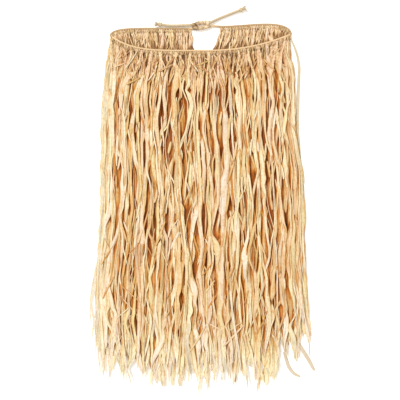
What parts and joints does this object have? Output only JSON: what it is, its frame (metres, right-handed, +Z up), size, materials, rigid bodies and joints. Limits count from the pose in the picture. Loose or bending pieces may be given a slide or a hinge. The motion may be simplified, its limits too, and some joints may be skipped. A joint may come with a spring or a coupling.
{
  "type": "grass skirt",
  "caption": "Long raffia grass skirt laid flat, with a plaited waistband tied in a knot at the back and loose hanging locks.",
  "frame": {"origin": "middle of the skirt's underside, on the surface that it lies on", "axes": "+Z up from the surface, +Y from the hem to the waist, +X to the right as seen from above with the waist at the top"},
  "size_m": [0.5305, 0.9529, 0.0243],
  "materials": {
    "raffia_front": "dry raffia strips, matt with a faint waxy sheen",
    "raffia_back": "dry raffia strips, matt, a little darker",
    "plaited_raffia": "plaited raffia, matt"
  },
  "bodies": {
    "root": {"waistband_front": "plaited_raffia", "waistband_back_left": "plaited_raffia", "waistband_back_right": "plaited_raffia", "knot": "plaited_raffia", "tie_end_left": "plaited_raffia", "tie_end_right": "plaited_raffia", "tie_tip_left": "plaited_raffia", "tie_tip_right": "plaited_raffia", "fringe_front_1": "raffia_front", "fringe_front_2": "raffia_front", "fringe_front_3": "raffia_front", "fringe_front_4": "raffia_front", "fringe_front_5": "raffia_front", "fringe_front_6": "raffia_front", "fringe_back_left_1": "raffia_back", "fringe_back_left_2": "raffia_back", "fringe_back_left_3": "raffia_back", "fringe_back_right_1": "raffia_back", "fringe_back_right_2": "raffia_back", "fringe_back_right_3": "raffia_back"}
  },
  "joints": []
}
